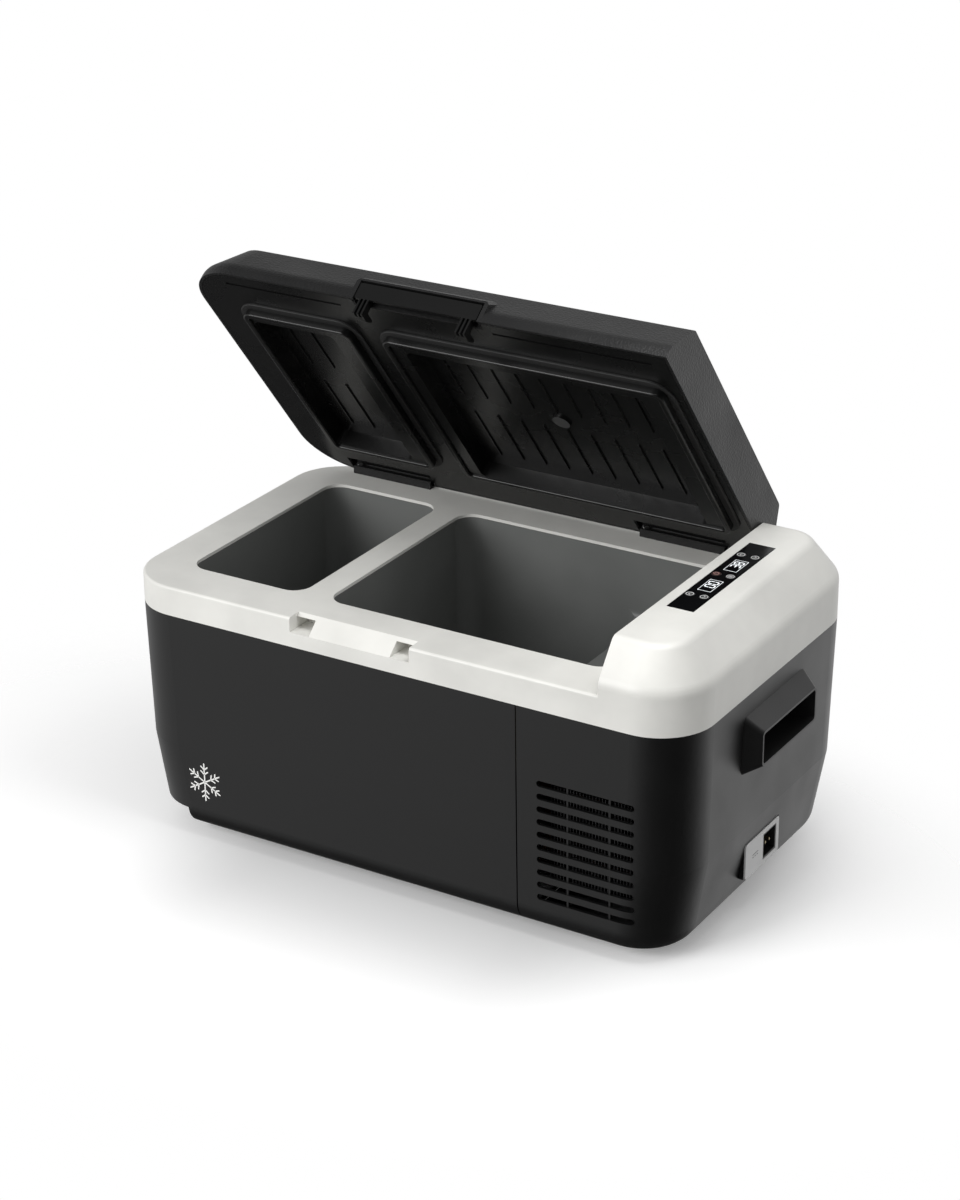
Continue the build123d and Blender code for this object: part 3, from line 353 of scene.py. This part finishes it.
# One material for each slot of the record: colour, roughness, then grain, depth and gloss where given
MATERIALS = {
    "body_plastic": moulded_plastic("body_plastic", (0.006, 0.006, 0.0061), 0.42, 1100.0, 0.00003),
    "handle_plastic": moulded_plastic("handle_plastic", (0.011, 0.011, 0.0112), 0.45, 1100.0, 0.00003),
    "frame_plastic": moulded_plastic("frame_plastic", (0.74, 0.735, 0.70), 0.42, 1400.0, 0.000012),
    "liner_plastic": moulded_plastic("liner_plastic", (0.15, 0.155, 0.15), 0.42, 700.0, 0.00003, 0.35),
    "lid_plastic": leather_grain_plastic("lid_plastic", (0.0078, 0.0078, 0.008), 0.46, 520.0, 0.0003, 0.34),
    "lid_inner_plastic": moulded_plastic(
        "lid_inner_plastic", (0.004, 0.004, 0.004), 0.27, 500.0, 0.00003, 0.36),
    "latch_plastic": moulded_plastic("latch_plastic", (0.004, 0.004, 0.004), 0.3, 900.0, 0.00002, 0.35),
    "hinge_plastic": moulded_plastic("hinge_plastic", (0.006, 0.006, 0.006), 0.45, 900.0, 0.00002, 0.3),
    "black_plastic": moulded_plastic("black_plastic", (0.01, 0.01, 0.01), 0.45),
    "inlet_plastic": moulded_plastic("inlet_plastic", (0.5, 0.5, 0.5), 0.4, 1200.0, 0.00002),
    "panel_film": moulded_plastic("panel_film", (0.004, 0.004, 0.0045), 0.16, 300.0, 0.000004, 0.35),
    "display_glass": moulded_plastic("display_glass", (0.003, 0.003, 0.0035), 0.1, 300.0, 0.0),
    "key_plastic": moulded_plastic("key_plastic", (0.014, 0.014, 0.015), 0.3, 900.0, 0.00001, 0.3),
    "key_power_plastic": moulded_plastic(
        "key_power_plastic", (0.03, 0.016, 0.015), 0.3, 900.0, 0.00001, 0.3),
    "gasket_rubber": moulded_plastic("gasket_rubber", (0.01, 0.01, 0.01), 0.6, 500.0, 0.00005),
    "foot_rubber": moulded_plastic("foot_rubber", (0.014, 0.014, 0.014), 0.75, 500.0, 0.00008),
    "cable_jacket": moulded_plastic("cable_jacket", (0.02, 0.02, 0.02), 0.5),
    "circuit_board": moulded_plastic("circuit_board", (0.01, 0.09, 0.03), 0.35, 300.0, 0.00003),
    "foam": moulded_plastic("foam", (0.8, 0.7, 0.45), 0.9, 350.0, 0.0003),
    "sheet_steel": brushed_metal("sheet_steel", (0.55, 0.55, 0.56), 0.35),
    "sensor_metal": brushed_metal("sensor_metal", (0.6, 0.6, 0.6), 0.3),
    "fastener_steel": brushed_metal("fastener_steel", (0.55, 0.55, 0.56), 0.3),
    "refrigerant_tube": brushed_metal("refrigerant_tube", (0.7, 0.7, 0.71), 0.35),
    # Fins and copper tube are much darker than bare metal: painted shade for the inside of the vent slots
    "fin_aluminium": brushed_metal("fin_aluminium", (0.14, 0.14, 0.145), 0.45),
    "copper_tube": brushed_metal("copper_tube", (0.25, 0.12, 0.07), 0.4),
    "contact_brass": brushed_metal("contact_brass", (0.28, 0.23, 0.14), 0.4),
    "compressor_paint": moulded_plastic("compressor_paint", (0.012, 0.012, 0.013), 0.35, 250.0, 0.0001),
    "pump_iron": moulded_plastic("pump_iron", (0.12, 0.12, 0.12), 0.7, 250.0, 0.0003),
}


def dress_cad_nodes():
    """Give each CAD node the material of its slot."""
    slots = {row["node"]: row["material_slot"] for row in frame["record"]["subparts"]}
    for name, piece in frame["nodes"].items():
        piece.data.materials.clear()
        piece.data.materials.append(MATERIALS[slots[name]])


dress_cad_nodes()


# ---------------------------------------------------------------- printed and lit marks
class Face:
    """Flat face that marks are printed on: an origin, a reading direction and an up direction."""

    def __init__(self, origin, right, up):
        self.origin = Vector(origin)
        self.right = Vector(right).normalized()
        self.up = Vector(up).normalized()
        self.out = self.right.cross(self.up)

    def point(self, across, along, height):
        """Point in the frame from millimetres across, up and out of the face."""
        return self.origin + (self.right * across + self.up * along + self.out * height) * MM


def add_prism(bm, face, outline, low, high):
    """Closed thin prism with the given outline in millimetres."""
    bottom = [bm.verts.new(face.point(x, y, low)) for x, y in outline]
    top = [bm.verts.new(face.point(x, y, high)) for x, y in outline]
    bm.faces.new(list(reversed(bottom)))
    bm.faces.new(top)
    for index in range(len(outline)):
        after = (index + 1) % len(outline)
        bm.faces.new((bottom[index], bottom[after], top[after], top[index]))


def stroke_outline(start, end, width, end_steps=6):
    """Outline of one straight stroke with round ends."""
    angle = math.atan2(end[1] - start[1], end[0] - start[0])
    outline = []
    for centre, first in ((end, angle - math.pi / 2), (start, angle + math.pi / 2)):
        for step in range(end_steps + 1):
            turn = first + math.pi * step / end_steps
            outline.append((centre[0] + math.cos(turn) * width / 2, centre[1] + math.sin(turn) * width / 2))
    return outline


def add_ring(bm, face, centre, radius, width, low, high, start=0.0, sweep=360.0, steps=40):
    """Flat ring or arc of the given width; angles run anticlockwise from the reading direction."""
    closed = sweep >= 360.0
    count = steps if closed else steps + 1
    loops = []
    for step in range(count):
        angle = math.radians(start + sweep * step / steps)
        ray = (math.cos(angle), math.sin(angle))
        inner = (centre[0] + ray[0] * (radius - width / 2), centre[1] + ray[1] * (radius - width / 2))
        outer = (centre[0] + ray[0] * (radius + width / 2), centre[1] + ray[1] * (radius + width / 2))
        loops.append([bm.verts.new(face.point(*spot, level)) for spot, level in
                      ((inner, low), (outer, low), (outer, high), (inner, high))])
    for index in range(count if closed else count - 1):
        here, after = loops[index], loops[(index + 1) % count]
        for side in range(4):
            other = (side + 1) % 4
            bm.faces.new((here[side], after[side], after[other], here[other]))
    if not closed:
        bm.faces.new(list(reversed(loops[0])))
        bm.faces.new(loops[-1])


def finish_mark(name, bm, material, body):
    """Turn a bmesh into a piece that rides on a body."""
    bmesh.ops.recalc_face_normals(bm, faces=bm.faces)
    mesh = bpy.data.meshes.new(name)
    bm.to_mesh(mesh)
    bm.free()
    mesh.materials.append(material)
    piece = bpy.data.objects.new(name, mesh)
    bpy.context.scene.collection.objects.link(piece)
    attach(piece, body)
    return piece


INK_H = 0.06
SEGMENTS = {"0": "abcdef", "3": "abgcd", "8": "abcdefg"}


def segment_outline(start, end, width):
    """Pointed bar of a seven-segment digit."""
    along = Vector(end) - Vector(start)
    unit = along.normalized()
    side = Vector((-unit.y, unit.x)) * width / 2
    first = Vector(start) + unit * 0.15
    last = Vector(end) - unit * 0.15
    near = first + unit * width / 2
    far = last - unit * width / 2
    return [tuple(spot) for spot in (first, near - side, far - side, last, far + side, near + side)]


def add_digit(bm, face, digit, left, low, width, height, bar):
    """One seven-segment digit with its lower left corner at (left, low)."""
    right, middle, top = left + width, low + height / 2, low + height
    ends = {
        "a": ((left, top), (right, top)),
        "b": ((right, top), (right, middle)),
        "c": ((right, middle), (right, low)),
        "d": ((left, low), (right, low)),
        "e": ((left, middle), (left, low)),
        "f": ((left, top), (left, middle)),
        "g": ((left, middle), (right, middle)),
    }
    for name in SEGMENTS[digit]:
        add_prism(bm, face, segment_outline(*ends[name], bar), 0.0, INK_H)


def lit_ink(name, colour, strength):
    """Lit or printed ink with a faint unevenness."""
    material, tree, shader = material_base(name, colour, 0.4)
    vary(tree, shader, colour, 0.4, 0.06, 0.05, 900.0)
    shader.inputs["Emission Color"].default_value = (*colour, 1.0)
    shader.inputs["Emission Strength"].default_value = strength
    return material


WHITE_LED = lit_ink("white_led", (0.85, 0.88, 0.9), 0.5)
WHITE_INK = lit_ink("white_ink", (0.82, 0.82, 0.8), 0.0)
# The key and power symbols are printed ink with a faint glow added: painted light on the marks
KEY_INK_GLOW = lit_ink("key_ink_glow", (0.75, 0.75, 0.75), 0.15)
POWER_INK_GLOW = lit_ink("power_ink_glow", (0.6, 0.36, 0.33), 0.1)
DARK_INK = lit_ink("dark_ink", (0.05, 0.05, 0.05), 0.0)

DIGIT_W = 5.0
DIGIT_H = 8.6
DIGIT_BAR = 1.15
DIGIT_GAP = 2.4
DIGITS_SHIFT = 2.6
FRAME_LINE = 0.45
FRAME_MARGIN = 1.0


def add_display(node, digits):
    """White outline and two digits on one display, read from the compressor end."""
    low, high = (Vector(corner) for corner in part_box(node))
    centre = ((low.x + high.x) / 2, (low.y + high.y) / 2, high.z)
    face = Face(centre, (0, 1, 0), (-1, 0, 0))
    half_across = (high.y - low.y) / MM / 2 - FRAME_MARGIN
    half_up = (high.x - low.x) / MM / 2 - FRAME_MARGIN
    bm = bmesh.new()
    corners = [
        (-half_across, -half_up), (half_across, -half_up), (half_across, half_up), (-half_across, half_up),
    ]
    for index, start in enumerate(corners):
        end = corners[(index + 1) % 4]
        add_prism(bm, face, stroke_outline(start, end, FRAME_LINE, 2), 0.0, INK_H)
    finish_mark(f"{node}_outline", bm, WHITE_LED, "body")
    bm = bmesh.new()
    first = -DIGIT_W - DIGIT_GAP / 2 + DIGITS_SHIFT
    for index, digit in enumerate(digits):
        left = first + index * (DIGIT_W + DIGIT_GAP)
        add_digit(bm, face, digit, left, -DIGIT_H / 2, DIGIT_W, DIGIT_H, DIGIT_BAR)
    finish_mark(f"{node}_digits", bm, WHITE_LED, "body")


add_display("display_left_zone", "00")
add_display("display_right_zone", "38")

ICON_R = 3.3
ICON_LINE = 0.5
POWER_ARC_R = 2.3
POWER_ARC_START = 125.0
POWER_ARC_SWEEP = 290.0
ICON_STROKES = {
    "power": [((0, 0.4), (0, 3.0))],
    "up": [((-1.8, -0.72), (0, 1.2)), ((0, 1.2), (1.8, -0.72))],
    "down": [((-1.8, 0.72), (0, -1.2)), ((0, -1.2), (1.8, 0.72))],
    "set": [((-1.6, rise), (1.6, rise)) for rise in (1.2, 0, -1.2)],
}


def add_icon(node, kind):
    """Small symbol on the top of one key."""
    low, high = (Vector(corner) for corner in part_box(node))
    face = Face(((low.x + high.x) / 2, (low.y + high.y) / 2, high.z), (0, 1, 0), (-1, 0, 0))
    bm = bmesh.new()
    if kind == "power":
        add_ring(bm, face, (0, 0), POWER_ARC_R, ICON_LINE, 0.0, INK_H, POWER_ARC_START, POWER_ARC_SWEEP)
    else:
        add_ring(bm, face, (0, 0), ICON_R, ICON_LINE, 0.0, INK_H)
    for start, end in ICON_STROKES[kind]:
        add_prism(bm, face, stroke_outline(start, end, ICON_LINE), 0.0, INK_H)
    ink = POWER_INK_GLOW if kind == "power" else KEY_INK_GLOW
    finish_mark(f"{node}_symbol", bm, ink, f"{node}_cap")


for side in ("left", "right"):
    for way in ("up", "down"):
        add_icon(f"key_{side}_{way}", way)
add_icon("key_power", "power")
add_icon("key_set", "set")

KNEE_HEIGHT = 0.090
KNEE_INSET = 0.002
WALL_TILT = math.atan2(1.8, 84.0)
MARK_CENTRE = (-206.0, 60.0)
MARK_R = 19.0
MARK_LINE = 1.3
# Each pair of side strokes: how far along the arm it starts, and its length, as shares of the arm
MARK_BRANCHES = ((0.42, 0.26), (0.68, 0.24))
MARK_BRANCH_TURN = 50


def wall_front_y(height):
    """Front wall's place at a height below the knee, in metres, worked out from the shell's size."""
    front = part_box("outer_shell")[0][1]
    return front + KNEE_INSET + (KNEE_HEIGHT - height) * math.tan(WALL_TILT)


def add_snowflake():
    """Plain snowflake printed low on the front wall."""
    height = MARK_CENTRE[1] * MM
    up = (0, -math.sin(WALL_TILT), math.cos(WALL_TILT))
    face = Face((MARK_CENTRE[0] * MM, wall_front_y(height), height), (1, 0, 0), up)
    bm = bmesh.new()
    for arm in range(6):
        angle = math.radians(90 + 60 * arm)
        ray = Vector((math.cos(angle), math.sin(angle)))
        add_prism(bm, face, stroke_outline((0, 0), tuple(ray * MARK_R), MARK_LINE), 0.0, INK_H)
        for reach, length in MARK_BRANCHES:
            root = ray * MARK_R * reach
            for turn in (-MARK_BRANCH_TURN, MARK_BRANCH_TURN):
                side = angle + math.radians(turn)
                tip = root + Vector((math.cos(side), math.sin(side))) * MARK_R * length
                add_prism(bm, face, stroke_outline(tuple(root), tuple(tip), MARK_LINE), 0.0, INK_H)
    finish_mark("front_snowflake", bm, WHITE_INK, "body")


DC_INSET = 0.019
DC_HALF = 5.5
DC_RISE = 1.3
DC_LINE = 0.8
DC_DASH_PITCH = 4.2
DC_DASH_HALF = 1.0


def add_current_symbol():
    """Direct-current symbol on the inlet plate: a bar over a broken bar."""
    low, high = (Vector(corner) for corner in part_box("inlet_plate"))
    face = Face((high.x, low.y + DC_INSET, (low.z + high.z) / 2), (0, 1, 0), (0, 0, 1))
    bm = bmesh.new()
    add_prism(bm, face, stroke_outline((-DC_HALF, DC_RISE), (DC_HALF, DC_RISE), DC_LINE), 0.0, INK_H)
    for centre in (-DC_DASH_PITCH, 0.0, DC_DASH_PITCH):
        start = (centre - DC_DASH_HALF, -DC_RISE)
        end = (centre + DC_DASH_HALF, -DC_RISE)
        add_prism(bm, face, stroke_outline(start, end, DC_LINE), 0.0, INK_H)
    finish_mark("inlet_current_symbol", bm, DARK_INK, "body")


HINGE_LINE = Vector((0.0, 0.161, 0.264))
LID_ANGLE = math.radians(51.0)
# The middle of the boss's face with the lid closed
BOSS_CENTRE = Vector((0.044, -0.003, 0.260))
BOSS_CAP_R = 8.6
BOSS_CAP_STEPS = 48


def add_boss_cap():
    """Grey disc on the round boss in the middle of the right pan."""
    turn = Matrix.Rotation(-LID_ANGLE, 3, "X")
    centre = HINGE_LINE + turn @ (BOSS_CENTRE - HINGE_LINE)
    face = Face(tuple(centre), (1, 0, 0), tuple(turn @ Vector((0, -1, 0))))
    bm = bmesh.new()
    outline = []
    for step in range(BOSS_CAP_STEPS):
        angle = 2 * math.pi * step / BOSS_CAP_STEPS
        outline.append((BOSS_CAP_R * math.cos(angle), BOSS_CAP_R * math.sin(angle)))
    add_prism(bm, face, outline, 0.0, INK_H)
    finish_mark("lid_boss_cap", bm, DARK_INK, "lid")


add_snowflake()
add_current_symbol()
add_boss_cap()
